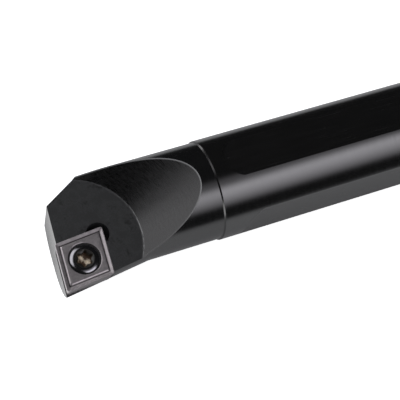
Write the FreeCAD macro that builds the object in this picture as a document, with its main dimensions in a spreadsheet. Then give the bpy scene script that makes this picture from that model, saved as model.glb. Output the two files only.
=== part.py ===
import FreeCAD, Part
import os

import Sketcher

# Right-hand indexable boring bar: a round steel bar with clamping flats, one rhombic carbide
# insert in an open pocket and the countersunk screw that holds it.
#
# Frame, in millimetres: the X axis is the bar's axis and points from the head to the rear end,
# Z is square to the top clamping flat, and the cutting tip is on the -Y side at centre height.
# The origin is on the axis, where the full shank diameter begins.
#
# The head is laid out in the rake plane, from the cutting tip: "along" is rearward and "across"
# is towards the far side. That plane rises from the tip to the far side by the rake tilt.
#
# The shank's round wall is split where the flats reach their full width, into a collar and the
# four straight strips between the flats. No feature is refined, so that the split stays. The
# turned profile leans by the seam angle, so that the wall's seam runs along one of the strips.

DRIVING = {
    # shank
    "shank_diameter": 20.0,
    "overall_length": 200.0,
    "flat_depth": 0.8,
    "flat_overrun": 0.08,
    "top_flat_start": 2.5,
    "top_cutter_margin": 0.1,
    "side_flat_start": 4.0,
    "side_cutter_margin": 4.0,
    "side_cutter_drop": 3.0,
    "rear_chamfer": 1.0,
    "seam_angle": 52.5,
    # neck and flared head
    "neck_step": 0.25,
    "head_length": 32.6,
    "tip_overhang": 2.0,
    "rake_tilt": 7.0,
    "flare_length": 17.6,
    "flare_angle": 8.0,
    "flare_inset": 0.15,
    "head_stock": 3.0,
    # front face and the corner taken off the far side of the head
    "front_angle": 5.5,
    "front_setback": 0.2,
    "front_relief": 1.0,
    "corner_across": 17.4,
    "corner_angle": 30.0,
    # cone that the chips climb, round an axis square to the rake plane
    "cone_along": 4.4,
    "cone_across": 8.6,
    "cone_foot_radius": 13.0,
    "cone_slope": 34.0,
    "cone_foot_fillet": 0.5,
    # length that a cutter runs past the metal
    "cutter_overrun": 12.0,
    # insert
    "inscribed_circle": 9.525,
    "point_angle": 80.0,
    "edge_clearance": 5.0,
    "insert_thickness": 3.97,
    "flank_relief": 7.0,
    "nose_radius": 0.4,
    "edge_land": 0.14,
    "groove_run": 0.62,
    "groove_depth": 0.2,
    "plateau_setback": 1.06,
    "plateau_rise": 0.05,
    # hole of the insert, with the cone that the screw head seats on
    "insert_bore": 4.4,
    "seat_cone_angle": 60.0,
    "mouth_diameter": 6.4,
    "mouth_foot_diameter": 6.1,
    "mouth_depth": 0.15,
    # drilled relief in the pocket's inner corner
    "relief_diameter": 4.5,
    "relief_inset": 1.75,
    "relief_extra": 0.4,
    # clamp screw
    "thread_diameter": 4.0,
    "screw_length": 7.2,
    "screw_head_diameter": 5.7,
    "screw_rim": 0.3,
    "screw_dome": 0.3,
    "screw_land_diameter": 3.8,
    "screw_end_chamfer": 0.5,
    # six-lobe socket
    "socket_tip_diameter": 3.35,
    "socket_waist_diameter": 2.4,
    "socket_lobe_radius": 0.3,
    "socket_depth": 1.7,
    "socket_drill_diameter": 2.2,
    "socket_floor_cone": 0.35,
    "socket_lead_diameter": 3.6,
    "socket_lead_angle": 20.0,
    "socket_turn": 10.0,
}

DERIVED = {
    "shank_radius": "shank_diameter / 2",
    "neck_radius": "shank_radius - neck_step",
    "shank_length": "overall_length - head_length",
    "flat_height": "shank_radius - flat_depth",
    "flat_half_width": "sqrt(shank_radius ^ 2 - flat_height ^ 2) + flat_overrun",
    "top_cutter_radius": "flat_half_width + top_cutter_margin",
    "side_cutter_radius": "flat_half_width + side_cutter_margin",
    "side_flat_full": ("side_flat_start + side_cutter_radius"
                       " - sqrt(side_cutter_radius ^ 2 - (flat_half_width + side_cutter_drop) ^ 2)"),
    "tip_offset": "shank_radius + tip_overhang",
    "flare_radius": "neck_radius - flare_inset",
    "flare_lead": "(neck_radius - flare_radius / cos(flare_angle * 1 deg)) / tan(flare_angle * 1 deg)",
    "flare_cross": "flare_length - head_length + flare_lead",
    "fillet_reach": "cone_foot_fillet * tan(cone_slope * 0.5 deg)",
    "bisector_angle": "edge_clearance + point_angle / 2",
    "inradius": "inscribed_circle / 2",
    "centre_distance": "inradius / sin(point_angle * 0.5 deg)",
    "centre_along": "centre_distance * cos(bisector_angle * 1 deg)",
    "centre_across": "centre_distance * sin(bisector_angle * 1 deg)",
    "flank_inset": "insert_thickness * tan(flank_relief * 1 deg)",
    "land_inradius": "inradius - edge_land",
    "groove_inradius": "land_inradius - groove_run",
    "plateau_inradius": "inradius - plateau_setback",
    "seat_slope": "tan(seat_cone_angle * 0.5 deg)",
    "bore_radius": "insert_bore / 2",
    "mouth_radius": "mouth_diameter / 2",
    "mouth_foot_radius": "mouth_foot_diameter / 2",
    "cone_bottom": "mouth_depth + (mouth_foot_radius - bore_radius) / seat_slope",
    "thread_radius": "thread_diameter / 2",
    "head_radius": "screw_head_diameter / 2",
    "head_drop": "mouth_depth + (mouth_foot_radius - head_radius) / seat_slope",
    "head_bottom": "mouth_depth + (mouth_foot_radius - thread_radius) / seat_slope",
    "rim_top": "head_drop - screw_rim",
    "screw_top": "rim_top - screw_dome",
    "dome_run": "head_radius - screw_land_diameter / 2",
    "dome_radius": "(dome_run ^ 2 + screw_dome ^ 2) / (2 * screw_dome)",
    "screw_end": "screw_top + screw_length",
    "socket_floor": "screw_top + socket_depth",
    "waist_radius": "socket_waist_diameter / 2",
    "lobe_centre": "socket_tip_diameter / 2 - socket_lobe_radius",
    "ridge_radius": ("(lobe_centre ^ 2 + waist_radius ^ 2 - 2 * lobe_centre * waist_radius * cos(30 deg)"
                     " - socket_lobe_radius ^ 2)"
                     " / (2 * (socket_lobe_radius + lobe_centre * cos(30 deg) - waist_radius))"),
    "ridge_opening": ("asin(lobe_centre * sin(30 deg) / (socket_lobe_radius + ridge_radius)) / 1 deg"),
}

doc = FreeCAD.newDocument("boring_bar")
size = doc.addObject("Spreadsheet::Sheet", "size")


def fill_sheet():
    """Puts every driving value and every derived one in a row of its own, under its alias."""
    rows = [(name, repr(value)) for name, value in DRIVING.items()]
    rows += [(name, "=" + formula) for name, formula in DERIVED.items()]
    for row, (name, content) in enumerate(rows, start=1):
        size.set("A%d" % row, name)
        size.set("B%d" % row, content)
        size.setAlias("B%d" % row, name)
    doc.recompute()


def new_body(name):
    """An empty body whose label names its file."""
    body = doc.addObject("PartDesign::Body", name)
    body.Label = name
    return body


def origin_part(body, role):
    """One of a body's own origin planes or axes."""
    return next(item for item in body.Origin.OriginFeatures if item.Role == role)


# Places in the head: the cutting tip with the rake plane through it, and the insert's centre
# with the long diagonal of the insert along the first axis.
TIP = "placement(vector(-size.head_length; -size.tip_offset; 0); rotationx(size.rake_tilt))"
SEAT = TIP + (" * placement(vector(size.centre_along; size.centre_across; 0);"
              " rotationz(size.bisector_angle))")


def shifted(along, across, up, turn="rotationx(0)"):
    """A placement expression for a move and a turn."""
    return "placement(vector(%s; %s; %s); %s)" % (along, across, up, turn)


def sketch_on(body, name, role, place):
    """A sketch on one of the body's origin planes, moved off it by a placement expression."""
    sketch = body.newObject("Sketcher::SketchObject", name)
    sketch.AttachmentSupport = [(origin_part(body, role), "")]
    sketch.MapMode = "FlatFace"
    sketch.setExpression("AttachmentOffset", place)
    return sketch


def point_at(sketch, spot):
    """The sketch point that a pair of expressions gives now."""
    return FreeCAD.Vector(float(sketch.evalExpression(spot[0])), float(sketch.evalExpression(spot[1])), 0)


def bind(sketch, constraint, formula):
    """Adds one dimension to a sketch and ties it to the sheet."""
    index = sketch.addConstraint(constraint)
    sketch.setExpression("Constraints[%d]" % index, formula)


def fix_point(sketch, piece, end, spot):
    """Ties a point to a place: on an axis where a coordinate is 0, else by a bound distance."""
    point = point_at(sketch, spot)
    ways = (("DistanceX", spot[0], point.x, -2), ("DistanceY", spot[1], point.y, -1))
    for kind, formula, value, axis in ways:
        if formula == "0":
            sketch.addConstraint(Sketcher.Constraint("PointOnObject", piece, end, axis))
        else:
            bind(sketch, Sketcher.Constraint(kind, -1, 1, piece, end, value), formula)


def draw_outline(sketch, corners, rounds=None):
    """A closed outline, each corner a pair of expressions, drawn anticlockwise.

    A side is straight, or bowed outwards where rounds gives the radius of the side that starts at
    that corner.
    """
    rounds = rounds or {}
    points = [point_at(sketch, corner) for corner in corners]
    count = len(points)
    sides = []
    for i, point in enumerate(points):
        following = points[(i + 1) % count]
        side = Part.LineSegment(point, following)
        if i in rounds:
            middle = bow_middle(point, following, float(sketch.evalExpression(rounds[i])))
            side = Part.Arc(point, middle, following)
        sides.append(sketch.addGeometry(side))
    for i, side in enumerate(sides):
        sketch.addConstraint(Sketcher.Constraint("Coincident", side, 2, sides[(i + 1) % count], 1))
        fix_point(sketch, side, 1, corners[i])
        if i in rounds:
            radius = float(sketch.evalExpression(rounds[i]))
            bind(sketch, Sketcher.Constraint("Radius", side, radius), rounds[i])


def bow_middle(start, end, radius):
    """The middle of the arc from one point to another that bows to the right of that way."""
    chord = end - start
    rise = radius - (radius ** 2 - (chord.Length / 2) ** 2) ** 0.5
    right = FreeCAD.Vector(chord.y, -chord.x, 0).normalize()
    return (start + end) * 0.5 + right * rise


def draw_circle(sketch, centre, radius):
    """One circle whose centre and radius are expressions."""
    middle = point_at(sketch, centre)
    first = float(sketch.evalExpression(radius))
    circle = sketch.addGeometry(Part.Circle(middle, FreeCAD.Vector(0, 0, 1), first))
    fix_point(sketch, circle, 3, centre)
    bind(sketch, Sketcher.Constraint("Radius", circle, first), radius)


def place_round(distance, turn):
    """The expressions for a point at a distance from the sketch's origin, at an angle in degrees."""
    return ("%s * cos((%s) * 1 deg)" % (distance, turn), "%s * sin((%s) * 1 deg)" % (distance, turn))


def draw_arc(sketch, centre, radius, towards, opening):
    """An arc of bound radius that reaches an angle to each side of a direction, in degrees."""
    reach = float(sketch.evalExpression(radius))
    middle = sketch.evalExpression("(%s) * 1 deg" % towards).getValueAs("rad").Value
    half = sketch.evalExpression("%s * 1 deg" % opening).getValueAs("rad").Value
    circle = Part.Circle(point_at(sketch, centre), FreeCAD.Vector(0, 0, 1), reach)
    arc = sketch.addGeometry(Part.ArcOfCircle(circle, middle - half, middle + half))
    bind(sketch, Sketcher.Constraint("Radius", arc, reach), radius)
    return arc


def draw_rhombus(sketch, inradius, corner_radius):
    """The insert's outline round its centre: four sides joined by round corners."""
    reach = "((%s) - (%s))" % (inradius, corner_radius)
    acute = "size.point_angle * 0.5"
    arcs = []
    for count in range(4):
        turn = 90 * count
        share, opening = ("sin", "(90 - %s)" % acute) if count % 2 == 0 else ("cos", "(%s)" % acute)
        spot = place_round("%s / %s(%s * 1 deg)" % (reach, share, acute), str(turn))
        spot = tuple("0" if (turn + 90 * axis) % 180 == 90 else text for axis, text in enumerate(spot))
        arc = draw_arc(sketch, spot, corner_radius, str(turn), opening)
        fix_point(sketch, arc, 3, spot)
        arcs.append(arc)
    for i, arc in enumerate(arcs):
        following = arcs[(i + 1) % 4]
        side = sketch.addGeometry(Part.LineSegment(sketch.getPoint(arc, 2), sketch.getPoint(following, 1)))
        sketch.addConstraint(Sketcher.Constraint("Tangent", arc, 2, side, 1))
        sketch.addConstraint(Sketcher.Constraint("Tangent", side, 2, following, 1))


def add_revolved(body, kind, name, sketch, axis):
    """A full turn of a sketch round one of its own axes, added or cut."""
    feature = body.newObject("PartDesign::" + kind, name)
    feature.Refine = False
    feature.Profile = sketch
    feature.ReferenceAxis = (sketch, [axis])
    feature.Angle = 360
    sketch.Visibility = False
    doc.recompute()
    return feature


def add_loft(body, kind, name, first, second):
    """A ruled loft between two sketches, added or cut."""
    feature = body.newObject("PartDesign::" + kind, name)
    feature.Refine = False
    feature.Profile = first
    feature.Sections = [(second, [""])]
    feature.Ruled = True
    doc.recompute()
    return feature


def add_pad(body, name, sketch, length):
    """A pad against the sketch's normal, to a bound length."""
    feature = body.newObject("PartDesign::Pad", name)
    feature.Refine = False
    feature.Profile = sketch
    feature.Reversed = True
    feature.setExpression("Length", length)
    doc.recompute()
    return feature


def add_pocket(body, name, sketch, depth=None, upward=False):
    """A pocket through everything or to a bound depth, checked by the volume that it takes."""
    before = body.Shape.Volume
    feature = body.newObject("PartDesign::Pocket", name)
    feature.Refine = False
    feature.Profile = sketch
    feature.Reversed = upward
    if depth is None:
        feature.Type = "ThroughAll"
    else:
        feature.Type = "Length"
        feature.setExpression("Length", depth)
    doc.recompute()
    if not body.Shape.Volume < before:
        raise RuntimeError("%s cuts nothing" % name)
    return feature


def add_pattern(body, name, original, role, copies):
    """Equal copies of a feature round one of the body's origin axes."""
    feature = body.newObject("PartDesign::PolarPattern", name)
    feature.Refine = False
    feature.Originals = [original]
    feature.Axis = (origin_part(body, role), [""])
    feature.Angle = 360
    feature.Occurrences = copies
    body.Tip = feature
    doc.recompute()
    return feature


def draw_flat(sketch, start, cutter, drop):
    """Plan of one clamping flat: open to the rear, with the round end that the cutter leaves.

    The drop is how far the cutter's path runs below the middle of the flat.
    """
    half = "size.flat_half_width"
    round_end = "%s + %s - sqrt(%s ^ 2 - (%s %s %s) ^ 2)"
    rear = "size.shank_length + size.cutter_overrun"
    draw_outline(sketch, [
        (round_end % (start, cutter, cutter, half, "-", drop), "-" + half),
        (rear, "-" + half),
        (rear, half),
        (round_end % (start, cutter, cutter, half, "+", drop), half),
    ], rounds={3: cutter})


def build_bar():
    """The steel bar: turned shank and neck, flared head, flats, rake plane, cone and pocket."""
    body = new_body("bar_body")

    turned = sketch_on(body, "turned_profile", "XZ_Plane",
                       shifted("0", "0", "0", "rotationx(size.seam_angle)"))
    draw_outline(turned, [
        ("-size.head_length - size.head_stock", "0"),
        ("-size.head_length - size.head_stock", "size.neck_radius"),
        ("-size.neck_step", "size.neck_radius"),
        ("0", "size.shank_radius"),
        ("size.side_flat_full", "size.shank_radius"),
        ("size.shank_length - size.rear_chamfer", "size.shank_radius"),
        ("size.shank_length", "size.shank_radius - size.rear_chamfer"),
        ("size.shank_length", "0"),
    ])
    add_revolved(body, "Revolution", "turned_bar", turned, "H_Axis")

    flare = sketch_on(body, "flare_circle", "YZ_Plane",
                      shifted("0", "0", "size.flare_cross", "rotationy(size.flare_angle)"))
    draw_circle(flare, ("0", "0"), "size.flare_radius")
    add_pad(body, "flared_head", flare, "size.flare_cross + size.head_length + size.head_stock")

    top_plan = sketch_on(body, "top_flat_plan", "XY_Plane", shifted("0", "0", "size.flat_height"))
    draw_flat(top_plan, "size.top_flat_start", "size.top_cutter_radius", "0")
    top_flat = add_pocket(body, "top_flat", top_plan, upward=True)
    add_pattern(body, "top_and_bottom_flats", top_flat, "X_Axis", 2)
    side_plan = sketch_on(body, "side_flat_plan", "XZ_Plane", shifted("0", "0", "size.flat_height"))
    draw_flat(side_plan, "size.side_flat_start", "size.side_cutter_radius", "size.side_cutter_drop")
    side_flat = add_pocket(body, "side_flat", side_plan, upward=True)
    add_pattern(body, "side_flats", side_flat, "X_Axis", 2)

    leaning = TIP + " * " + shifted("0", "0", "0", "rotationy(-size.front_relief)")
    nose = sketch_on(body, "nose_outline", "XY_Plane",
                     leaning + " * " + shifted("0", "0", "size.shank_diameter"))
    front_slope = "tan(size.front_angle * 1 deg)"
    corner_along = "size.front_setback + size.corner_across * " + front_slope
    corner_end = ("%s + 2 * size.cutter_overrun * cos(size.corner_angle * 1 deg)" % corner_along,
                  "size.corner_across + 2 * size.cutter_overrun * sin(size.corner_angle * 1 deg)")
    draw_outline(nose, [
        ("size.front_setback - size.cutter_overrun * " + front_slope, "-size.cutter_overrun"),
        (corner_along, "size.corner_across"),
        corner_end,
        ("-size.cutter_overrun", corner_end[1]),
        ("-size.cutter_overrun", "-size.cutter_overrun"),
    ])
    add_pocket(body, "front_face_and_corner", nose)

    upright = TIP + " * " + shifted("size.cone_along", "size.cone_across", "0", "rotationx(90)")
    cone = sketch_on(body, "chip_cone_profile", "XY_Plane", upright)
    draw_outline(cone, [
        ("0", "0"),
        ("size.cone_foot_radius - size.fillet_reach", "0"),
        ("size.cone_foot_radius + size.fillet_reach * cos(size.cone_slope * 1 deg)",
         "size.fillet_reach * sin(size.cone_slope * 1 deg)"),
        ("size.cone_foot_radius + size.shank_diameter / tan(size.cone_slope * 1 deg)",
         "size.shank_diameter"),
        ("0", "size.shank_diameter"),
    ], rounds={1: "size.cone_foot_fillet"})
    add_revolved(body, "Groove", "rake_face_and_chip_cone", cone, "V_Axis")

    add_loft(body, "SubtractiveLoft", "insert_pocket",
             pocket_outline(body, "pocket_top", "size.edge_land"),
             pocket_outline(body, "pocket_floor", "-size.insert_thickness"))
    relief = sketch_on(body, "corner_relief_circle", "XY_Plane", SEAT)
    draw_circle(relief, ("size.centre_distance - size.relief_inset", "0"), "size.relief_diameter / 2")
    add_pocket(body, "corner_relief", relief, depth="size.insert_thickness + size.relief_extra")
    screw_hole = sketch_on(body, "screw_hole_circle", "XY_Plane", SEAT)
    draw_circle(screw_hole, ("0", "0"), "size.thread_radius")
    add_pocket(body, "screw_hole", screw_hole)
    return body


def pocket_outline(body, name, height):
    """The pocket's outline at a height over the rake plane: two walls on the insert's flanks."""
    sketch = sketch_on(body, name, "XY_Plane", SEAT + " * " + shifted("0", "0", height))
    wall = "(size.inradius + (%s) * tan(size.flank_relief * 1 deg))" % height
    inner = wall + " / sin(size.point_angle * 0.5 deg)"
    side = wall + " / cos(size.point_angle * 0.5 deg)"
    overrun = "(1 + size.cutter_overrun / size.inscribed_circle)"
    draw_outline(sketch, [
        (inner, "0"),
        ("%s * (1 - %s)" % (inner, overrun), "%s * %s" % (side, overrun)),
        ("%s * (1 - 2 * %s)" % (inner, overrun), "0"),
        ("%s * (1 - %s)" % (inner, overrun), "-%s * %s" % (side, overrun)),
    ])
    return sketch


def build_insert():
    """The carbide insert: relieved flanks, pressed chip groove round a plateau, coned hole."""
    body = new_body("insert")

    def level(name, inradius, height):
        sketch = sketch_on(body, name, "XY_Plane", shifted("0", "0", height))
        draw_rhombus(sketch, inradius, "size.nose_radius")
        return sketch

    add_loft(body, "AdditiveLoft", "flanks",
             level("bottom_outline", "size.inradius - size.flank_inset", "-size.insert_thickness"),
             level("cutting_edge", "size.inradius", "0"))
    add_loft(body, "SubtractiveLoft", "chip_groove",
             level("groove_rim", "size.land_inradius", "0"),
             level("groove_bottom", "size.groove_inradius", "-size.groove_depth"))
    add_loft(body, "AdditiveLoft", "plateau",
             level("plateau_foot", "size.groove_inradius", "-size.groove_depth"),
             level("plateau_edge", "size.plateau_inradius", "size.plateau_rise"))

    hole = sketch_on(body, "hole_profile", "XZ_Plane", shifted("0", "0", "0"))
    draw_outline(hole, [
        ("0", "size.plateau_rise + size.cutter_overrun"),
        ("size.mouth_radius", "size.plateau_rise + size.cutter_overrun"),
        ("size.mouth_radius", "size.plateau_rise"),
        ("size.mouth_foot_radius", "-size.mouth_depth"),
        ("size.bore_radius", "-size.cone_bottom"),
        ("size.bore_radius", "-size.insert_thickness - size.cutter_overrun"),
        ("0", "-size.insert_thickness - size.cutter_overrun"),
    ])
    add_revolved(body, "Groove", "coned_hole", hole, "V_Axis")
    body.setExpression("Placement", SEAT)
    return body


def draw_six_lobes(sketch):
    """The socket's outline: round lobes joined by the round ridges between them."""
    lobes = []
    ridges = []
    for count in range(6):
        turn = "size.socket_turn - size.bisector_angle + %d" % (60 * count)
        between = turn + " + 30"
        lobe_place = place_round("size.lobe_centre", turn)
        lobes.append(draw_arc(sketch, lobe_place, "size.socket_lobe_radius",
                              turn, "(30 + size.ridge_opening)"))
        fix_point(sketch, lobes[-1], 3, lobe_place)
        ridges.append(draw_arc(sketch, place_round("(size.waist_radius + size.ridge_radius)", between),
                               "size.ridge_radius", between + " + 180", "size.ridge_opening"))
    for count, (lobe, ridge) in enumerate(zip(lobes, ridges)):
        following = lobes[(count + 1) % 6]
        sketch.addConstraint(Sketcher.Constraint("Tangent", lobe, 2, ridge, 2))
        sketch.addConstraint(Sketcher.Constraint("Tangent", ridge, 1, following, 1))


def build_screw():
    """The clamp screw: domed head on a seat cone, thread outline and six-lobe socket."""
    body = new_body("clamp_screw")
    profile = sketch_on(body, "screw_profile", "XZ_Plane", shifted("0", "0", "0"))
    draw_outline(profile, [
        ("0", "-size.screw_end"),
        ("size.thread_radius - size.screw_end_chamfer", "-size.screw_end"),
        ("size.thread_radius", "-size.screw_end + size.screw_end_chamfer"),
        ("size.thread_radius", "-size.head_bottom"),
        ("size.head_radius", "-size.head_drop"),
        ("size.head_radius", "-size.rim_top"),
        ("size.screw_land_diameter / 2", "-size.screw_top"),
        ("0", "-size.screw_top"),
    ], rounds={5: "size.dome_radius"})
    add_revolved(body, "Revolution", "turned_screw", profile, "V_Axis")

    outline = sketch_on(body, "socket_outline", "XY_Plane", shifted("0", "0", "-size.screw_top"))
    draw_six_lobes(outline)
    add_pocket(body, "six_lobe_socket", outline, depth="size.socket_depth")
    drill = sketch_on(body, "socket_drill_profile", "XZ_Plane", shifted("0", "0", "0"))
    draw_outline(drill, [
        ("0", "-size.socket_floor - size.socket_floor_cone"),
        ("size.socket_drill_diameter / 2", "-size.socket_floor"),
        ("0", "-size.socket_floor"),
    ])
    add_revolved(body, "Groove", "socket_drill_point", drill, "V_Axis")
    lead = sketch_on(body, "socket_lead_profile", "XZ_Plane", shifted("0", "0", "0"))
    draw_outline(lead, [
        ("0", "-size.screw_top - size.socket_lead_diameter / 2 * tan(size.socket_lead_angle * 1 deg)"),
        ("size.socket_lead_diameter / 2", "-size.screw_top"),
        ("0", "-size.screw_top"),
    ])
    add_revolved(body, "Groove", "socket_lead", lead, "V_Axis")
    body.setExpression("Placement", SEAT)
    return body


fill_sheet()
bodies = [build_bar(), build_insert(), build_screw()]
doc.recompute()
for item in doc.Objects:
    if "Invalid" in item.State or "Error" in item.State:
        raise RuntimeError("%s is %s" % (item.Label, item.State))
os.makedirs("parts", exist_ok=True)
for body in bodies:
    shape = body.Shape
    if shape.isNull() or not shape.isValid():
        raise RuntimeError("%s has no valid shape" % body.Label)
    print(body.Label, "solids", len(shape.Solids), "volume", round(shape.Volume, 2), shape.BoundBox)
    shape.exportStep("parts/%s.step" % body.Label)
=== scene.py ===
import math
from collections import namedtuple

import bmesh
import bpy
from bpy.props import FloatProperty, FloatVectorProperty, PointerProperty
from mathutils import Matrix, Vector


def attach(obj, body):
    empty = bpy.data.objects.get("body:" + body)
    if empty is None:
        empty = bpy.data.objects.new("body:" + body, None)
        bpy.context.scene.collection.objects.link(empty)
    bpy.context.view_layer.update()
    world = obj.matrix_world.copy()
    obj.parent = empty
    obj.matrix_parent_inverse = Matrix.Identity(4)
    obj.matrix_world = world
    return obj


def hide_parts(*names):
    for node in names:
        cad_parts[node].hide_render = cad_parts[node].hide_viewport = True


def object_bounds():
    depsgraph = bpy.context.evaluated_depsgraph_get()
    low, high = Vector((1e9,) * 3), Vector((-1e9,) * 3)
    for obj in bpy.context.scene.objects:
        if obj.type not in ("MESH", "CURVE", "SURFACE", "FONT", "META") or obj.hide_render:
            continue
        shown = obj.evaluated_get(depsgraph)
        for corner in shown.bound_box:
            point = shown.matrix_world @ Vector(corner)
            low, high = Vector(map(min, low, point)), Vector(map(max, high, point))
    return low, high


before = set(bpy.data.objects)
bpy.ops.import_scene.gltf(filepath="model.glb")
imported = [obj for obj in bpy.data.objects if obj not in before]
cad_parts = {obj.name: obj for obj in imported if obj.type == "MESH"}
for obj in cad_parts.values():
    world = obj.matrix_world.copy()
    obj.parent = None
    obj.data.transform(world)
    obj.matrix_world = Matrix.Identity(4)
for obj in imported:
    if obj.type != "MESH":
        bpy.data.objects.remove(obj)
cad_low, cad_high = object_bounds()

bl_info = {
    "name": "Boring Bar",
    "version": (1, 0, 0),
    "blender": (4, 5, 0),
    "location": "View3D > Sidebar > Boring Bar",
    "description": "Dresses an indexable boring bar: the steel bar, its carbide insert and the "
                   "clamp screw",
    "category": "Object",
}

# Sizes that are given with MM are in metres. The materials' patterns are in millimetres.
MM = 0.001
X_AXIS = Vector((1.0, 0.0, 0.0))
Z_AXIS = Vector((0.0, 0.0, 1.0))

# Frames. The bar's axis is X, and the shoulder between neck and shank is at X = 0.
# RAKE lies in the rake face from the cutting tip. SEAT stands on the insert, at its hole's axis.
TIP = Vector((-32.6, -12.0, 0.0)) * MM
RAKE_TILT = math.radians(7.0)
RAKE = Matrix.Translation(TIP) @ Matrix.Rotation(RAKE_TILT, 4, "X")
SEAT_TURN = math.radians(45.0)
SEAT_PLACE = Vector((5.239, 5.239, 0.0)) * MM
SEAT = RAKE @ Matrix.Translation(SEAT_PLACE) @ Matrix.Rotation(SEAT_TURN, 4, "Z")

# The bar.
SHANK_RADIUS = 10.0 * MM
CHAMFER_ANGLE = math.radians(45.0)
REAR_START = 166.4 * MM
NECK_RADIUS = 9.75 * MM
FLARE_RADIUS = 9.6 * MM
FLARE_ANGLE = math.radians(8.0)
FLARE_START = -14.604 * MM
FLARE_CENTRE = Vector((FLARE_START, 0.0, 0.0))
FLARE_AXIS = Vector((math.cos(FLARE_ANGLE), math.sin(FLARE_ANGLE), 0.0))
CONE_AXIS = Vector((4.4, 8.6, 0.0)) * MM
CONE_FOOT = 13.0 * MM
CONE_END = 40.0 * MM
CONE_SLOPE = math.radians(34.0)
FILLET_RADIUS = 0.5 * MM
FILLET_REACH = FILLET_RADIUS * math.tan(CONE_SLOPE / 2)
RELIEF_CENTRE = 5.659 * MM
RELIEF_RADIUS = 2.25 * MM
FRONT_DEPTH = 12.0 * MM
HEAD_END = -1.0 * MM

# The painted highlight along the cone's outline, in millimetres. It is faint on the near side of
# the head.
FLARE_BLEND = 0.4
HIGHLIGHT_FAINT, HIGHLIGHT_FULL = -9.0, -4.0
LEAST_HIGHLIGHT = 0.15

# The insert, in its seat's frame. The painted shade line along the groove's bottom is given in
# millimetres.
GROOVE_DEPTH = 0.3 * MM
GROOVE_START = 3.6 * MM
MOUTH_RADIUS = 3.25 * MM
MOUTH_TOP = 0.0
GROOVE_SHADE_REACH = 4.0
SIDE_LEAN = math.radians(40.0)

# Slots of the materials that don't cover a whole piece.
HOLE_SLOT, FLANK_SLOT = 1, 2
SOCKET_SLOT = 1

# The screw and its hole, in the seat's frame.
THREAD_RADIUS = 2.0 * MM
HOLE_TOP = -3.97 * MM
HOLE_END = -9.3 * MM
THREAD_BED = 0.03 * MM
THREAD_HEIGHT = 0.5
SCREW_NECK = -2.25 * MM
NECK_TAPER = 0.3 * MM
CORE_START = SCREW_NECK - 0.2 * MM
SCREW_END = -7.1 * MM
THREAD_END = SCREW_END + 0.05 * MM
SCREW_BED = 0.02 * MM
SCREW_THREAD_HEIGHT = 0.61
SCREW_BREAK = 0.04 * MM
SOCKET_RADIUS = 1.85 * MM
SOCKET_FOOT = 1.5 * MM
SOCKET_END = 2.6 * MM
# Centres of the two painted glints on the socket's bottom, in millimetres.
SOCKET_GLINTS = ((0.34, 0.85, -1.65), (0.23, -0.45, -1.65))
SOCKET_BROWN = (0.11, 0.06, 0.03)

# The shape of a thread's ridge. Its crests are shares of the pitch, as are the thread heights.
STEPS_PER_TURN = 40
RIDGE_FLANK = math.radians(29.0)
OUTER_CREST = 1 / 16
INNER_CREST = 1 / 9
FADE_TURNS = 0.7
LEAST_RIDGE = 0.05

# How near a vertex lies to a surface that it belongs to.
FIT = 0.02 * MM
FLARE_FIT = 0.03 * MM
CONE_FIT = 0.06 * MM
RING_FIT = 0.01 * MM
CORE_FIT = 0.05 * MM

# The part of a face's unit normal that lies along a direction.
ALIGNED = 0.95
LEVEL = 0.99
SQUARE = 0.02
FORWARD = -0.5
UPWARD = 0.3
FLANK_LEAN = 0.35

# Angles between faces.
FLAT_ANGLE = math.radians(0.3)
PRESSED_ANGLE = math.radians(12.0)
MILLED_ANGLE = math.radians(15.0)
SHARP_ANGLE = math.radians(25.0)
SMOOTH_ANGLE = math.radians(30.0)
MERGE_DISTANCE = 0.0001 * MM

# Refraction of the blackened steel.
STEEL_IOR = 1.7
OXIDE_IOR = 2.15
CONE_IOR = 1.62
SHOULDER_IOR = 1.8
NECK_IOR = 2.0
FRONT_IOR = 2.05

# The floor, in metres. Reflections see it glow in front of the head and go dark to the sides.
FLOOR_RADIUS = 3.0
FLOOR_SEGMENTS = 64
FLOOR_GLOW = 0.75
FRONT_GLOW = 1.8
FRONT_GLOW_START, FRONT_GLOW_END = -0.03, -0.04
SIDE_FADE_START, SIDE_FADE_END = 0.035, 0.075
NEAR_FLOOR, FAR_FLOOR = 0.58, 0.02

# The room that lights the bar, and the darker room that its polished faces reflect.
WHITE = (1.0, 1.0, 1.0)
ROOM = (0.55, 0.56, 0.57)
REFLECTED_ROOM = (0.015, 0.015, 0.0155)

# The softboxes. A profile is (place, brightness) from a light's lower edge to its upper edge.
LIGHT_ELEVATION = math.radians(42.0)
LIGHT_DISTANCE = 0.7
LIGHT_SIDES = ((0.0, 0.0), (0.2, 1.0), (0.8, 1.0), (1.0, 0.0))
KEY_AZIMUTH = math.radians(-66.0)
KEY_SIZE = (0.68, 0.95)
KEY_TINT = (1.0, 0.98, 1.04)
KEY_PROFILE = ((0.0, 0.0), (0.05, 0.01), (0.12, 0.09), (0.25, 0.39), (0.36, 0.65), (0.46, 0.88),
               (0.56, 1.0), (0.64, 0.68), (0.7, 0.34), (0.76, 0.2), (0.86, 0.14), (0.92, 0.06),
               (1.0, 0.0))
FILL_AZIMUTH = math.radians(135.0)
FILL_SIZE = (0.93, 0.8)
FILL_TINT = (1.0, 0.99, 1.02)
FILL_PROFILE = ((0.0, 0.0), (0.25, 0.85), (0.5, 1.0), (0.8, 1.0), (1.0, 0.0))

# The camera. Angles are in radians.
CAMERA_PLACE = Vector((-73.955, -108.098, 210.147)) * MM
CAMERA_AZIMUTH, CAMERA_ELEVATION, CAMERA_ROLL = 0.59595, 1.02147, 0.23574
SENSOR_WIDTH = 36.0
CLIP_START = 0.01


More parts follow.
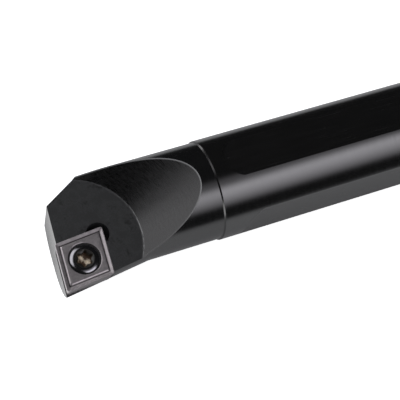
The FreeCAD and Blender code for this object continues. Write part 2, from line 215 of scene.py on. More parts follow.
class BarSettings(bpy.types.PropertyGroup):
    """Sizes and colours of the steel bar."""

    edge_break: FloatProperty(
        name="Edge break", description="Width of the small chamfer on the milled edges",
        default=0.14 * MM, min=0.0, unit="LENGTH", subtype="DISTANCE")
    # Width of the painted highlight along the chip cone's outline.
    cone_edge: FloatProperty(
        name="Cone outline", description="Width of the rubbed line round the chip cone",
        default=0.3 * MM, min=0.0, unit="LENGTH", subtype="DISTANCE")
    colour: FloatVectorProperty(
        name="Black oxide", description="Colour of the turned and blackened steel",
        default=(0.003, 0.003, 0.003), size=3, min=0.0, max=1.0, subtype="COLOR")
    milled_colour: FloatVectorProperty(
        name="Milled faces", description="Colour of the blackened steel where it was milled",
        default=(0.024, 0.025, 0.026), size=3, min=0.0, max=1.0, subtype="COLOR")
    # Colour of the painted highlight along the chip cone's outline.
    painted_highlight_colour: FloatVectorProperty(
        name="Painted highlight", description="Colour of the outline of the chip cone",
        default=(0.15, 0.15, 0.152), size=3, min=0.0, max=1.0, subtype="COLOR")


class InsertSettings(bpy.types.PropertyGroup):
    """Sizes and colours of the carbide insert."""

    hone: FloatProperty(
        name="Hone", description="Rounding of the insert's cutting and bottom edges",
        default=0.05 * MM, min=0.0, unit="LENGTH", subtype="DISTANCE")
    groove_round: FloatProperty(
        name="Groove rounding", description="Rounding of the pressed chip groove and its plateau",
        default=0.1 * MM, min=0.0, unit="LENGTH", subtype="DISTANCE")
    colour: FloatVectorProperty(
        name="Coating", description="Colour of the coated carbide",
        default=(0.56, 0.52, 0.53), size=3, min=0.0, max=1.0, subtype="COLOR")


class ScrewSettings(bpy.types.PropertyGroup):
    """Sizes and colours of the clamp screw."""

    pitch: FloatProperty(
        name="Thread pitch", description="Advance of the thread in one turn",
        default=0.7 * MM, min=0.1 * MM, unit="LENGTH", subtype="DISTANCE")
    colour: FloatVectorProperty(
        name="Screw steel", description="Colour of the polished screw",
        default=(0.33, 0.325, 0.345), size=3, min=0.0, max=1.0, subtype="COLOR")
    # Colour of the painted glints in the socket; its walls take a near-black painted shade of it.
    socket_glint_colour: FloatVectorProperty(
        name="Socket glint", description="Colour of the bottom of the screw's socket",
        default=(0.95, 0.8, 0.6), size=3, min=0.0, max=1.0, subtype="COLOR")


class StageSettings(bpy.types.PropertyGroup):
    """The floor, lights and camera."""

    floor_colour: FloatVectorProperty(
        name="Floor", description="Colour of the studio floor",
        default=(0.9, 0.9, 0.9), size=3, min=0.0, max=1.0, subtype="COLOR")
    focal_length: FloatProperty(
        name="Focal length", description="Camera focal length in millimetres",
        default=114.273, min=1.0, unit="CAMERA")
    key_strength: FloatProperty(
        name="Key light", description="Brightness of the softbox on the near side",
        default=1.95, min=0.0)
    fill_strength: FloatProperty(
        name="Fill light", description="Brightness of the softbox behind the head",
        default=1.5, min=0.0)


class BoringBarSettings(bpy.types.PropertyGroup):
    """All settings of the boring bar."""

    bar: PointerProperty(type=BarSettings)
    insert: PointerProperty(type=InsertSettings)
    screw: PointerProperty(type=ScrewSettings)
    stage: PointerProperty(type=StageSettings)


class Tree:
    """Builds shader nodes. Wherever a value is asked for, another node's output can stand."""

    def __init__(self, owner):
        owner.use_nodes = True
        self.nodes, self.links = owner.node_tree.nodes, owner.node_tree.links

    def feed(self, socket, value):
        """Sets a socket's own value, or links an output to it."""
        if isinstance(value, bpy.types.NodeSocket):
            self.links.new(value, socket)
        elif value is not None:
            socket.default_value = value

    def node(self, kind, **inputs):
        """A new node. An underscore in an input's name stands for a space."""
        made = self.nodes.new(kind)
        for name, value in inputs.items():
            self.feed(made.inputs[name.replace("_", " ")], value)
        return made

    def math(self, operation, first, second=None):
        """A Math node on one or two numbers."""
        made = self.nodes.new("ShaderNodeMath")
        made.operation = operation
        self.feed(made.inputs[0], first)
        self.feed(made.inputs[1], second)
        return made.outputs[0]

    def vector_math(self, operation, first, second=None):
        """A Vector Math node on one or two vectors."""
        made = self.nodes.new("ShaderNodeVectorMath")
        made.operation = operation
        self.feed(made.inputs[0], first)
        self.feed(made.inputs[1], second)
        return made.outputs["Value" if operation in ("LENGTH", "DOT_PRODUCT") else "Vector"]

    def axes(self, vector):
        """The X, Y and Z of a vector."""
        return self.node("ShaderNodeSeparateXYZ", Vector=vector).outputs

    def distance(self, first, second):
        """How far apart two places are."""
        return self.vector_math("LENGTH", self.vector_math("SUBTRACT", first, second))

    def noise(self, vector, scale, detail=3.0, roughness=0.55):
        """A 0 to 1 noise pattern."""
        return self.node("ShaderNodeTexNoise", Vector=vector, Scale=scale, Detail=detail,
                         Roughness=roughness).outputs["Fac"]

    def spread(self, value, low, high, start=0.3, end=0.7, interpolation="LINEAR"):
        """A number between start and end turned into one between low and high."""
        made = self.node("ShaderNodeMapRange", Value=value, From_Min=start, From_Max=end,
                         To_Min=low, To_Max=high)
        made.interpolation_type = interpolation
        return made.outputs["Result"]

    def ramp(self, value, stops):
        """A colour ramp from (place, colour) stops."""
        made = self.node("ShaderNodeValToRGB", Fac=value)
        elements = made.color_ramp.elements
        for element, (place, colour) in zip(elements, (stops[0], stops[-1])):
            element.position, element.color = place, (*colour, 1.0)
        for place, colour in stops[1:-1]:
            elements.new(place).color = (*colour, 1.0)
        return made.outputs["Color"]

    def mix_numbers(self, factor, first, second):
        """Two numbers mixed by a 0 to 1 pattern."""
        made = self.nodes.new("ShaderNodeMix")
        for index, value in ((0, factor), (2, first), (3, second)):
            self.feed(made.inputs[index], value)
        return made.outputs[0]

    def mix(self, factor, first, second):
        """Two colours mixed by a 0 to 1 pattern."""
        made = self.nodes.new("ShaderNodeMix")
        made.data_type = "RGBA"
        self.feed(made.inputs[0], factor)
        for index, colour in ((6, first), (7, second)):
            if not isinstance(colour, bpy.types.NodeSocket):
                colour = (*colour, 1.0)
            self.feed(made.inputs[index], colour)
        return made.outputs[2]


class Finish(Tree):
    """One procedural material round a Principled shader. Its patterns are in millimetres."""

    def __init__(self, name, colour, roughness, metallic=0.0, ior=STEEL_IOR):
        self.material = bpy.data.materials.new(name)
        super().__init__(self.material)
        self.surface = self.nodes["Principled BSDF"].inputs
        self.feed(self.surface["Base Color"], (*colour, 1.0))
        self.feed(self.surface["Roughness"], roughness)
        self.feed(self.surface["Metallic"], metallic)
        self.feed(self.surface["IOR"], ior)
        self.place = self.node("ShaderNodeTexCoord").outputs

    def placed(self, matrix=Matrix.Identity(4)):
        """Object coordinates seen from a frame on the piece."""
        inverse = matrix.inverted()
        return self.node("ShaderNodeMapping", Vector=self.place["Object"],
                         Location=inverse.translation / MM, Rotation=inverse.to_euler("XYZ"),
                         Scale=(1.0 / MM,) * 3).outputs["Vector"]

    def stretched(self, vector, scale):
        """A vector with each axis scaled."""
        return self.vector_math("MULTIPLY", vector, scale)

    def streaks(self, vector, stretch, roughness=0.55):
        """A noise that is drawn out along the axes with a low stretch."""
        return self.noise(self.stretched(vector, stretch), 1.0, detail=4.0, roughness=roughness)

    def polar(self, vector):
        """A vector as distance from the Z axis, angle round it, and height."""
        axes = self.axes(vector)
        reach = self.vector_math("LENGTH", self.stretched(vector, (1.0, 1.0, 0.0)))
        angle = self.math("ARCTAN2", axes["Y"], axes["X"])
        return self.node("ShaderNodeCombineXYZ", X=reach, Y=angle, Z=axes["Z"]).outputs["Vector"]

    def depth_of_edge(self, centre, axis, radius):
        """How far the surface goes on to its edge on a cylinder round an axis."""
        offset = self.vector_math("SUBTRACT", self.placed(), centre / MM)
        away = self.vector_math("SUBTRACT", offset, self.vector_math("PROJECT", offset, axis))
        out = self.vector_math("NORMALIZE", away)
        lean = self.vector_math("DOT_PRODUCT", out, self.place["Normal"])
        slope = self.math("SQRT", self.math("SUBTRACT", 1.0, self.math("MULTIPLY", lean, lean)))
        inside = self.math("SUBTRACT", radius / MM, self.vector_math("LENGTH", away))
        return self.math("DIVIDE", inside, slope)

    def tint(self, colour):
        """Colours the surface with a pattern."""
        self.feed(self.surface["Base Color"], colour)

    def roughen(self, pattern, low, high):
        """Varies the roughness with a pattern."""
        self.feed(self.surface["Roughness"], self.spread(pattern, low, high))

    def bump(self, pattern, strength, height):
        """Relief from a pattern."""
        made = self.node("ShaderNodeBump", Height=pattern, Strength=strength, Distance=height * MM)
        self.feed(self.surface["Normal"], made.outputs["Normal"])


def shade(colour, share):
    """A darker or lighter shade of a colour."""
    return tuple(part * share for part in colour)


def turned_finish(settings):
    """Ground and blackened shank: fine lines that run round the bar."""
    made = Finish("turned_black", settings.colour, roughness=0.16, ior=OXIDE_IOR)
    lines = made.streaks(made.placed(), (9.0, 0.06, 0.06))
    made.roughen(lines, low=0.12, high=0.22)
    made.bump(lines, strength=0.25, height=0.002)
    return made.material


def neck_finish(settings):
    """Turned neck and slanted head: polished and blackened, with hardly any lines."""
    made = Finish("neck_black", shade(settings.milled_colour, 0.15), roughness=0.2, ior=NECK_IOR)
    lines = made.streaks(made.placed(), (6.0, 0.06, 0.06))
    made.roughen(lines, low=0.14, high=0.2)
    made.bump(lines, strength=0.12, height=0.002)
    return made.material


def flat_finish(settings):
    """Milled clamping flats: long faint lines along the bar."""
    made = Finish("flat_black", settings.colour, roughness=0.2, ior=OXIDE_IOR)
    lines = made.streaks(made.placed(), (0.15, 3.0, 3.0))
    made.roughen(lines, low=0.16, high=0.28)
    made.bump(lines, strength=0.2, height=0.002)
    return made.material


def rake_finish(settings):
    """Rake face: fine-milled, blackened, with a mottled grain."""
    colour = settings.milled_colour
    made = Finish("rake_black", colour, roughness=0.42)
    place = made.placed(RAKE)
    grain = made.noise(place, scale=2.2, detail=5.0, roughness=0.7)
    # The mottle rises to the middle of the pattern. The rest of the face has one even shade.
    both = made.math("ADD", made.noise(place, scale=0.35), grain)
    made.tint(made.ramp(both, [(0.78, shade(colour, 0.2)), (0.9999, shade(colour, 1.2)),
                               (1.0, shade(colour, 0.65))]))
    made.roughen(grain, low=0.36, high=0.5)
    made.bump(made.noise(place, scale=6.0, detail=4.0), strength=0.45, height=0.005)
    return made.material


def cone_finish(settings):
    """Chip cone: milling marks that run round the cone's axis, and a painted highlight along its
    outline.
    """
    colour = settings.milled_colour
    made = Finish("cone_black", shade(colour, 0.2), roughness=0.3, ior=CONE_IOR)
    place = made.polar(made.placed(RAKE @ Matrix.Translation(CONE_AXIS)))
    marks = made.streaks(place, (3.5, 9.0, 0.0), roughness=0.65)
    marked = made.ramp(marks, [(0.35, shade(colour, 0.04)), (0.65, shade(colour, 0.22))])
    # Painted highlight: a pale line along the cone's edge with the neck and the head's slanted
    # cylinder.
    width = settings.cone_edge / MM
    axes = made.axes(made.placed())
    edges = ((FLARE_CENTRE, FLARE_AXIS, FLARE_RADIUS), (Vector(), X_AXIS, NECK_RADIUS))
    flare, neck = [made.spread(made.depth_of_edge(*edge), 1.0, 0.0, start=0.5 * width, end=width)
                   for edge in edges]
    middle = FLARE_START / MM
    past_flare = made.spread(axes["X"], 0.0, 1.0, middle - FLARE_BLEND, middle + FLARE_BLEND)
    highlighted = made.math("MINIMUM", neck, made.math("MAXIMUM", flare, past_flare))
    # The painted highlight fades to its least on the near side of the head.
    fading = made.spread(axes["Y"], LEAST_HIGHLIGHT, 1.0, HIGHLIGHT_FAINT, HIGHLIGHT_FULL)
    kept = made.math("MULTIPLY", highlighted, fading)
    made.tint(made.mix(kept, marked, settings.painted_highlight_colour))
    made.roughen(marks, low=0.23, high=0.33)
    made.bump(marks, strength=0.5, height=0.02)
    return made.material


def front_finish(settings):
    """Front face and corner: milled, with faint upright streaks."""
    made = Finish("front_black", shade(settings.milled_colour, 0.5), roughness=0.2, ior=FRONT_IOR)
    streaks = made.streaks(made.placed(RAKE), (2.5, 2.5, 0.2))
    made.roughen(streaks, low=0.16, high=0.24)
    made.bump(streaks, strength=0.15, height=0.003)
    return made.material


def pocket_finish(settings):
    """Insert pocket and holes."""
    made = Finish("pocket_black", settings.milled_colour, roughness=0.4)
    grain = made.noise(made.placed(SEAT), scale=3.0, detail=4.0)
    made.roughen(grain, low=0.36, high=0.48)
    made.bump(grain, strength=0.2, height=0.003)
    return made.material


def shoulder_finish(settings):
    """The small chamfer between neck and shank."""
    made = Finish("shoulder_black", settings.colour, roughness=0.2, ior=SHOULDER_IOR)
    made.roughen(made.noise(made.placed(), scale=1.2, detail=4.0), low=0.15, high=0.25)
    return made.material


def painted_highlight_finish(settings):
    """Outline of the chip cone: a painted highlight, a pale grey line on the black finish."""
    colour = settings.painted_highlight_colour
    made = Finish("painted_highlight_edge", colour, roughness=0.45)
    line_grain = made.noise(made.placed(RAKE), scale=0.6, detail=4.0)
    made.tint(made.ramp(line_grain, [(0.3, colour), (0.7, shade(colour, 0.5))]))
    return made.material


def edge_finish(settings):
    """Broken edges that keep their black finish."""
    made = Finish("edge_black", shade(settings.milled_colour, 0.6), roughness=0.3)
    made.roughen(made.noise(made.placed(), scale=1.5, detail=4.0), low=0.25, high=0.4)
    return made.material


BAR_FINISHES = {"turned": turned_finish, "neck": neck_finish, "flat": flat_finish,
                "rake": rake_finish, "cone": cone_finish, "front": front_finish,
                "pocket": pocket_finish, "shoulder": shoulder_finish, "painted_highlight": painted_highlight_finish,
                "edge": edge_finish}
BAR_SLOTS = {finish: slot for slot, finish in enumerate(BAR_FINISHES)}


def coating_finish(settings):
    """Coated carbide: satin, with a slight pink and brown mottle and a painted shade line along its
    groove's bottom.
    """
    colour = settings.colour
    made = Finish("coated_carbide", colour, roughness=0.28, metallic=0.88)
    place = made.placed(SEAT)
    mottle = made.noise(place, scale=0.9, detail=5.0, roughness=0.65)
    coat = made.ramp(mottle, [(0.35, shade(colour, 0.85)), (0.5, colour),
                              (0.65, shade(colour, 1.15))])
    # Painted shade: a dark line where the groove's slopes meet, at a set distance from the centre.
    leans = [(side * math.sin(SIDE_LEAN), math.cos(SIDE_LEAN), 0.0) for side in (1.0, -1.0)]
    across = [made.math("ABSOLUTE", made.vector_math("DOT_PRODUCT", place, lean)) for lean in leans]
    reach = made.math("SUBTRACT", made.math("MAXIMUM", *across), GROOVE_SHADE_REACH)
    line = made.spread(made.math("ABSOLUTE", reach), 1.0, 0.0, start=0.05, end=0.2)
    made.tint(made.mix(line, coat, shade(colour, 0.12)))
    grain = made.noise(place, scale=12.0)
    made.roughen(grain, low=0.32, high=0.42)
    made.bump(grain, strength=0.15, height=0.003)
    return made.material


def hole_shade_finish(settings):
    """Wall of the insert's hole, painted dark as shade."""
    made = Finish("insert_hole_shade", shade(settings.colour, 0.05), roughness=0.4)
    made.bump(made.noise(made.placed(SEAT), scale=4.0), strength=0.1, height=0.003)
    return made.material


def flank_shade_finish(settings):
    """The insert's flanks: the same coating, darker than its face with painted shade."""
    made = Finish("coated_flank_shade", shade(settings.colour, 0.5), roughness=0.32, metallic=0.88)
    grain = made.noise(made.placed(SEAT), scale=8.0)
    made.roughen(grain, low=0.28, high=0.38)
    made.bump(grain, strength=0.15, height=0.003)
    return made.material


def screw_finish(settings):
    """Polished smoky steel of the screw."""
    made = Finish("smoky_steel", settings.colour, roughness=0.2, metallic=1.0)
    grain = made.noise(made.placed(SEAT), scale=5.0)
    made.roughen(grain, low=0.12, high=0.2)
    made.bump(grain, strength=0.1, height=0.003)
    return made.material


def socket_finish(settings):
    """The screw's socket: near-black walls of painted shade, and a brown bottom with two pale warm
    painted glints.
    """
    colour = settings.socket_glint_colour
    made = Finish("socket_shade_and_glints", colour, roughness=0.4, metallic=0.2)
    place = made.placed(SEAT)
    foot = -SOCKET_FOOT / MM
    # Painted shade: the walls above the bottom are near black.
    low = made.spread(made.axes(place)["Z"], 1.0, 0.0, start=foot, end=foot + 0.5)
    # Painted glints: two pale spots round the given centres, ragged by noise.
    near = made.math("MINIMUM", *(made.distance(place, spot) for spot in SOCKET_GLINTS))
    rag = made.math("MULTIPLY", made.noise(place, scale=1.6, detail=2.0), 1.6)
    glint = made.spread(made.math("ADD", near, rag), 1.0, 0.0, start=1.1, end=1.5)
    brown = made.mix(low, shade(colour, 0.012), SOCKET_BROWN)
    made.tint(made.mix(made.math("MULTIPLY", low, glint), brown, colour))
    return made.material


# A curved surface of the bar: its finish, whether a point fits it, and its normal at a point.
Surface = namedtuple("Surface", "finish fits normal")


def radial(point, centre, axis):
    """The part of a point's offset that is square to an axis."""
    offset = point - centre
    return offset - axis * offset.dot(axis)


def lathe_surface(finish, radius, slope=0.0, place=0.0):
    """A surface turned about the bar's axis. Its radius is taken at a place along X, and from there
    it narrows with the slope, which leans its normal towards +X."""

    def fits(point):
        here = radius - (point.x - place) * math.tan(slope)
        return abs(radial(point, Vector(), X_AXIS).length - here) < FIT

    def normal(point):
        out = radial(point, Vector(), X_AXIS).normalized()
        return out * math.cos(slope) + X_AXIS * math.sin(slope)

    return Surface(finish, fits, normal)


def flare_surface(finish):
    """The head's slanted cylinder."""

    def fits(point):
        return abs(radial(point, FLARE_CENTRE, FLARE_AXIS).length - FLARE_RADIUS) < FLARE_FIT

    def normal(point):
        return radial(point, FLARE_CENTRE, FLARE_AXIS).normalized()

    return Surface(finish, fits, normal)


def cone_surface(finish, inner, outer):
    """The chip cone and the fillet at its foot, between two distances from the cone's axis."""
    up = RAKE.to_3x3() @ Z_AXIS
    centre = RAKE @ CONE_AXIS
    foot = CONE_FOOT - FILLET_REACH

    def fits(point):
        out = radial(point, centre, up).length
        rise = (point - centre).dot(up)
        return (inner - RING_FIT < out < outer + RING_FIT
                and abs(rise - (out - CONE_FOOT) * math.tan(CONE_SLOPE)) < CONE_FIT)

    def normal(point):
        out = radial(point, centre, up)
        share = (out.length - foot) / FILLET_RADIUS
        lean = math.asin(min(max(share, 0.0), math.sin(CONE_SLOPE)))
        return up * math.cos(lean) - out.normalized() * math.sin(lean)

    return Surface(finish, fits, normal)


def bore_surface(finish, along, radius):
    """A hole square to the rake plane. Its wall faces its axis."""
    up = SEAT.to_3x3() @ Z_AXIS
    centre = SEAT @ Vector((along, 0.0, 0.0))

    def fits(point):
        return abs(radial(point, centre, up).length - radius) < FIT

    def normal(point):
        return -radial(point, centre, up).normalized()

    return Surface(finish, fits, normal)


def bar_surfaces():
    """Each curved surface of the bar."""
    fillet_end = CONE_FOOT + FILLET_REACH * math.cos(CONE_SLOPE)
    return [
        lathe_surface("turned", SHANK_RADIUS),
        lathe_surface("shoulder", SHANK_RADIUS, -CHAMFER_ANGLE),
        lathe_surface("turned", SHANK_RADIUS, CHAMFER_ANGLE, REAR_START),
        lathe_surface("neck", NECK_RADIUS),
        flare_surface("neck"),
        # The fillet at the cone's foot takes the painted highlight.
        cone_surface("painted_highlight", CONE_FOOT - FILLET_REACH, fillet_end),
        cone_surface("cone", CONE_FOOT, CONE_END),
        bore_surface("pocket", RELIEF_CENTRE, RELIEF_RADIUS),
        bore_surface("pocket", 0.0, THREAD_RADIUS),
    ]


def plane_finish(face):
    """The finish of a flat face of the bar."""
    middle = face.calc_center_median()
    place = RAKE.inverted() @ middle
    facing = RAKE.to_3x3().inverted() @ face.normal
    if abs(place.z) < FIT and facing.z > LEVEL:
        return "rake"
    if abs(face.normal.x) < SQUARE and middle.x > 0.0:
        return "flat"
    if facing.x < FORWARD and place.x < FRONT_DEPTH:
        return "front"
    if middle.x > HEAD_END:
        return "turned"
    return "pocket"


def merged_copy(node):
    """A bmesh of a CAD node, with its loose triangles joined and its flat faces whole."""
    shape = bmesh.new()
    shape.from_mesh(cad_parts[node].data)
    bmesh.ops.remove_doubles(shape, verts=shape.verts, dist=MERGE_DISTANCE)
    bmesh.ops.dissolve_limit(shape, angle_limit=FLAT_ANGLE, verts=shape.verts, edges=shape.edges)
    return shape


def sharp_edges(shape, angle):
    """The edges that turn by more than an angle."""
    return [edge for edge in shape.edges if edge.is_manifold and edge.calc_face_angle(0.0) > angle]


def bevel(shape, edges, width, segments=2):
    """Breaks edges and returns the new faces."""
    made = bmesh.ops.bevel(shape, geom=edges, offset=width, offset_type="OFFSET",
                           affect="EDGES", segments=segments, profile=0.5, material=-1,
                           clamp_overlap=True)
    return made["faces"]


def add_thread(shape, foot, crest, top, bottom, pitch):
    """Winds a right-hand ridge round the Z axis and returns its faces. It fades at both ends."""
    flat = pitch * (OUTER_CREST if crest > foot else INNER_CREST)
    half = flat + abs(crest - foot) * math.tan(RIDGE_FLANK)
    turns = (top - bottom) / pitch
    steps = round(turns * STEPS_PER_TURN)
    before = {*shape.verts, *shape.edges, *shape.faces}
    profile = ((foot, half), (crest, flat), (crest, -flat), (foot, -half))
    verts = [shape.verts.new((radius, 0.0, top + height)) for radius, height in profile]
    edges = [shape.edges.new(pair) for pair in zip(verts, verts[1:] + verts[:1])]
    bmesh.ops.spin(shape, geom=verts + edges, cent=(0.0, 0.0, 0.0), axis=Z_AXIS,
                   dvec=Z_AXIS * ((bottom - top) / steps), angle=-math.tau * turns, steps=steps)
    for vert in shape.verts:
        if vert not in before:
            reach = vert.co.xy.length
            to_end = min(top - vert.co.z, vert.co.z - bottom)
            share = min(1.0, max(LEAST_RIDGE, to_end / (FADE_TURNS * pitch)))
            vert.co.xy *= (foot + (reach - foot) * share) / reach
    ends = [edge for edge in shape.edges if edge not in before and edge.is_boundary]
    bmesh.ops.holes_fill(shape, edges=ends, sides=4)
    faces = [face for face in shape.faces if face not in before]
    bmesh.ops.recalc_face_normals(shape, faces=faces)
    return faces


def keep_sharp(shape, angle):
    """Keeps the edges sharp that turn by more than an angle."""
    shape.normal_update()
    for edge in shape.edges:
        edge.smooth = not edge.is_manifold or edge.calc_face_angle(0.0) < angle


def corner_normals(shape, surfaces, rule, broken):
    """A normal for each face corner: a surface's own, and a blend on the broken edges."""

    def own_normal(face, point):
        return surfaces[face[rule]].normal(point) if face[rule] >= 0 else face.normal

    normals = []
    for face in shape.faces:
        for vert in (loop.vert for loop in face.loops):
            if face[broken]:
                beside = [own_normal(f, vert.co) for f in vert.link_faces if not f[broken]]
                beside = beside or [f.normal for f in vert.link_faces]
                normals.append(sum(beside, Vector()).normalized())
            else:
                normals.append(own_normal(face, vert.co))
    return normals


def as_object(shape, name, materials, normals=None):
    """An object from a bmesh, linked to the scene. Normals are one for each face corner."""
    mesh = bpy.data.meshes.new(name)
    shape.to_mesh(mesh)
    shape.free()
    for material in materials:
        mesh.materials.append(material)
    mesh.polygons.foreach_set("use_smooth", [True] * len(mesh.polygons))
    if normals is not None:
        mesh.normals_split_custom_set(normals)
    made = bpy.data.objects.new(name, mesh)
    bpy.context.scene.collection.objects.link(made)
    return made


class DressBar(bpy.types.Operator):
    """Makes the steel bar: broken edges, the finish of each cut and the tapped hole's thread"""

    bl_idname = "boring_bar.dress_bar"
    bl_label = "Steel Bar"

    def execute(self, context):
        settings = context.scene.boring_bar.bar
        pitch = context.scene.boring_bar.screw.pitch
        surfaces = bar_surfaces()
        shape = merged_copy("bar_body")
        rule = shape.faces.layers.int.new("surface")
        broken = shape.faces.layers.int.new("broken")
        for face in shape.faces:
            middle = face.calc_center_median()
            face[rule] = next(
                (index for index, surface in enumerate(surfaces)
                 if all(surface.fits(vert.co) for vert in face.verts)
                 and surface.normal(middle).dot(face.normal) > ALIGNED), -1)
            finish = surfaces[face[rule]].finish if face[rule] >= 0 else plane_finish(face)
            face.material_index = BAR_SLOTS[finish]
        # Broken edges beside the cone take the painted highlight; the others take the black edge
        # finish.
        for face in bevel(shape, sharp_edges(shape, MILLED_ANGLE), settings.edge_break):
            beside = {f.material_index for v in face.verts for f in v.link_faces if not f[broken]}
            face.material_index = BAR_SLOTS["painted_highlight" if BAR_SLOTS["cone"] in beside else "edge"]
            face[broken] = 1
        shape.transform(SEAT.inverted())
        # The hole's ridge starts half a pitch down, so that it runs between the screw's turns.
        crest = THREAD_RADIUS - THREAD_HEIGHT * pitch
        start = HOLE_TOP - 0.5 * pitch
        for face in add_thread(shape, THREAD_RADIUS + THREAD_BED, crest, start, HOLE_END, pitch):
            face[rule], face[broken], face.material_index = -1, 0, BAR_SLOTS["pocket"]
        shape.transform(SEAT)
        shape.normal_update()
        normals = corner_normals(shape, surfaces, rule, broken)
        bar = as_object(shape, "bar", [make(settings) for make in BAR_FINISHES.values()], normals)
        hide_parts("bar_body")
        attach(bar, "root")
        return {"FINISHED"}


class DressInsert(bpy.types.Operator):
    """Makes the carbide insert with honed edges and a rounded chip groove"""

    bl_idname = "boring_bar.dress_insert"
    bl_label = "Carbide Insert"

    def execute(self, context):
        settings = context.scene.boring_bar.insert
        inward = SEAT.inverted()
        turn = inward.to_3x3()

        def pressed(edge):
            """Whether an edge lies in the pressed groove or round its plateau."""
            places = [inward @ vert.co for vert in edge.verts]
            return (all(abs(place.z) < GROOVE_DEPTH and place.xy.length > GROOVE_START
                        for place in places)
                    and all((turn @ face.normal).z > UPWARD for face in edge.link_faces))

        def at_mouth(edge):
            """Whether an edge lies round the hole, above the rake face."""
            places = [inward @ vert.co for vert in edge.verts]
            return all(place.z > 0.0 and place.xy.length < MOUTH_RADIUS for place in places)

        shape = merged_copy("insert")
        groove = [edge for edge in sharp_edges(shape, PRESSED_ANGLE) if pressed(edge)]
        mouth = [edge for edge in sharp_edges(shape, SHARP_ANGLE) if at_mouth(edge)]
        bevel(shape, groove, settings.groove_round, 4)
        bevel(shape, mouth, settings.groove_round, 4)
        bevel(shape, sharp_edges(shape, SHARP_ANGLE), settings.hone)
        for face in shape.faces:
            place = inward @ face.calc_center_median()
            # Painted shade: the faces round and inside the hole get the dark hole finish.
            if place.xy.length < MOUTH_RADIUS and place.z < MOUTH_TOP:
                face.material_index = HOLE_SLOT
            # Painted shade: the steep flanks get the darker flank finish.
            elif (turn @ face.normal).z < FLANK_LEAN:
                face.material_index = FLANK_SLOT
        keep_sharp(shape, SMOOTH_ANGLE)
        finishes = [coating_finish(settings), hole_shade_finish(settings), flank_shade_finish(settings)]
        insert = as_object(shape, "carbide_insert", finishes)
        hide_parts("insert")
        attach(insert, "root")
        return {"FINISHED"}


class DressScrew(bpy.types.Operator):
    """Makes the clamp screw with its socket and thread"""

    bl_idname = "boring_bar.dress_screw"
    bl_label = "Clamp Screw"

    def execute(self, context):
        settings = context.scene.boring_bar.screw
        core = THREAD_RADIUS - SCREW_THREAD_HEIGHT * settings.pitch
        shape = merged_copy("clamp_screw")
        bevel(shape, sharp_edges(shape, SHARP_ANGLE), SCREW_BREAK)
        shape.transform(SEAT.inverted())
        for face in shape.faces:
            place = face.calc_center_median()
            # Faces inside the socket take its painted shade and glints.
            if place.xy.length < SOCKET_RADIUS and place.z > -SOCKET_END:
                face.material_index = SOCKET_SLOT
        # Below its neck the plain stem narrows to the thread's core.
        for height in (SCREW_NECK, SCREW_NECK - NECK_TAPER):
            bmesh.ops.bisect_plane(shape, geom=[*shape.verts, *shape.edges, *shape.faces],
                                   plane_co=(0.0, 0.0, height), plane_no=Z_AXIS)
        for vert in shape.verts:
            reach = vert.co.xy.length
            if vert.co.z < CORE_START and abs(reach - THREAD_RADIUS) < CORE_FIT:
                vert.co.xy *= core / reach
        add_thread(shape, core - SCREW_BED, THREAD_RADIUS, SCREW_NECK, THREAD_END, settings.pitch)
        shape.transform(SEAT)
        keep_sharp(shape, SMOOTH_ANGLE)
        finishes = [screw_finish(settings), socket_finish(settings)]
        screw = as_object(shape, "six_lobe_screw", finishes)
        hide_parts("clamp_screw")
        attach(screw, "root")
        return {"FINISHED"}


class SetStage(bpy.types.Operator):
    """Makes the floor, the soft lights and the camera"""

    bl_idname = "boring_bar.set_stage"
    bl_label = "Stage"

    def execute(self, context):
        settings = context.scene.boring_bar.stage
        make_floor(settings)
        make_world()
        softbox("key_softbox", KEY_AZIMUTH, KEY_SIZE, settings.key_strength, KEY_TINT, KEY_PROFILE)
        softbox("fill_softbox", FILL_AZIMUTH, FILL_SIZE, settings.fill_strength, FILL_TINT,
                FILL_PROFILE)
        make_camera(settings)
        context.scene.view_settings.view_transform = "Standard"
        return {"FINISHED"}


def make_floor(settings):
    """A wide pale floor that reads white to the camera and still takes the bar's shadow."""
    shape = bmesh.new()
    bmesh.ops.create_circle(shape, cap_ends=True, segments=FLOOR_SEGMENTS, radius=FLOOR_RADIUS)
    bmesh.ops.translate(shape, verts=shape.verts, vec=(0.0, 0.0, cad_low.z))
    material = bpy.data.materials.new("pale_floor")
    tree = Tree(material)
    tree.nodes.remove(tree.nodes["Principled BSDF"])
    ray = tree.node("ShaderNodeLightPath").outputs
    axes = tree.axes(tree.node("ShaderNodeTexCoord").outputs["Object"])
    ahead = tree.spread(axes["X"], 0.0, FRONT_GLOW, FRONT_GLOW_START, FRONT_GLOW_END)
    mirrored = tree.math("MULTIPLY", ray["Is Glossy Ray"], ahead)
    level = tree.mix_numbers(ray["Is Camera Ray"], mirrored, FLOOR_GLOW)
    fade = tree.spread(tree.math("ABSOLUTE", axes["Y"]), NEAR_FLOOR, FAR_FLOOR,
                       SIDE_FADE_START, SIDE_FADE_END, "SMOOTHSTEP")
    colour = tree.mix(ray["Is Glossy Ray"], settings.floor_colour, fade)
    card = tree.node("ShaderNodeBsdfDiffuse", Color=colour)
    glow = tree.node("ShaderNodeEmission", Strength=level)
    both = tree.nodes.new("ShaderNodeAddShader")
    tree.feed(both.inputs[0], card.outputs[0])
    tree.feed(both.inputs[1], glow.outputs[0])
    tree.feed(tree.nodes["Material Output"].inputs["Surface"], both.outputs[0])
    floor = as_object(shape, "floor", [material])


def make_world():
    """White to the camera. Reflections see a dark room."""
    world = bpy.data.worlds.new("studio")
    bpy.context.scene.world = world
    tree = Tree(world)
    ray = tree.node("ShaderNodeLightPath").outputs
    room = tree.mix(ray["Is Glossy Ray"], ROOM, REFLECTED_ROOM)
    shown = tree.mix(ray["Is Camera Ray"], room, WHITE)
    tree.feed(tree.nodes["Background"].inputs["Color"], shown)


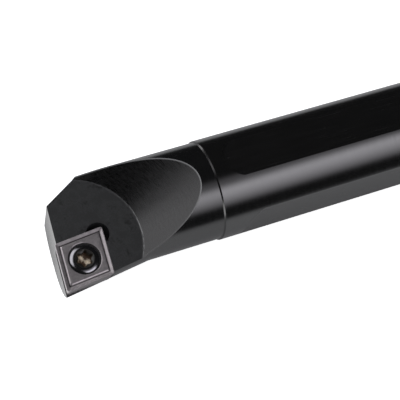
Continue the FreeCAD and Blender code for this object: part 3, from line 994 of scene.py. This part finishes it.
def softbox(name, azimuth, size, strength, tint, profile):
    """An area light that faces the head, with a brightness profile and soft sides."""
    light = bpy.data.lights.new(name, "AREA")
    light.shape = "RECTANGLE"
    light.size, light.size_y = size
    light.energy = strength * size[0] * size[1] * math.pi
    tree = Tree(light)
    axes = tree.axes(tree.node("ShaderNodeNewGeometry").outputs["Parametric"])
    fall = tree.ramp(axes["Y"], [(place, shade(tint, level)) for place, level in profile])
    sides = tree.ramp(axes["X"], [(place, shade(WHITE, level)) for place, level in LIGHT_SIDES])
    tree.feed(tree.nodes["Emission"].inputs["Color"], tree.vector_math("MULTIPLY", fall, sides))
    made = bpy.data.objects.new(name, light)
    level = math.cos(LIGHT_ELEVATION)
    out = Vector((level * math.cos(azimuth), level * math.sin(azimuth), math.sin(LIGHT_ELEVATION)))
    made.location = out * LIGHT_DISTANCE
    made.rotation_euler = out.to_track_quat("Z", "Y").to_euler()
    bpy.context.scene.collection.objects.link(made)


def make_camera(settings):
    """The camera at the picture's viewing angle."""
    data = bpy.data.cameras.new("camera")
    data.lens = settings.focal_length
    data.sensor_width = SENSOR_WIDTH
    data.clip_start = CLIP_START
    level = math.cos(CAMERA_ELEVATION)
    forward = Vector((level * math.sin(CAMERA_AZIMUTH), level * math.cos(CAMERA_AZIMUTH),
                      -math.sin(CAMERA_ELEVATION)))
    right = forward.cross(Z_AXIS).normalized()
    up = right.cross(forward)
    side = right * math.cos(CAMERA_ROLL) + up * math.sin(CAMERA_ROLL)
    top = up * math.cos(CAMERA_ROLL) - right * math.sin(CAMERA_ROLL)
    turn = Matrix((side, top, -forward)).transposed()
    camera = bpy.data.objects.new("camera", data)
    camera.matrix_world = Matrix.Translation(CAMERA_PLACE) @ turn.to_4x4()
    bpy.context.scene.collection.objects.link(camera)
    bpy.context.scene.camera = camera


class BoringBarPanel(bpy.types.Panel):
    """Lists the settings and the operators"""

    bl_idname = "VIEW3D_PT_boring_bar"
    bl_label = "Boring Bar"
    bl_space_type = "VIEW_3D"
    bl_region_type = "UI"
    bl_category = "Boring Bar"

    def draw(self, context):
        settings = context.scene.boring_bar
        groups = ((settings.bar, DressBar), (settings.insert, DressInsert),
                  (settings.screw, DressScrew), (settings.stage, SetStage))
        for group, operator in groups:
            box = self.layout.box()
            for key in group.__annotations__:
                box.prop(group, key)
            box.operator(operator.bl_idname)


CLASSES = (BarSettings, InsertSettings, ScrewSettings, StageSettings, BoringBarSettings,
           DressBar, DressInsert, DressScrew, SetStage, BoringBarPanel)


def register():
    for item in CLASSES:
        bpy.utils.register_class(item)
    bpy.types.Scene.boring_bar = PointerProperty(type=BoringBarSettings)


def unregister():
    del bpy.types.Scene.boring_bar
    for item in reversed(CLASSES):
        bpy.utils.unregister_class(item)


def main():
    register()
    bpy.ops.boring_bar.set_stage()
    bpy.ops.boring_bar.dress_bar()
    bpy.ops.boring_bar.dress_insert()
    bpy.ops.boring_bar.dress_screw()


if __name__ == "__main__":
    main()
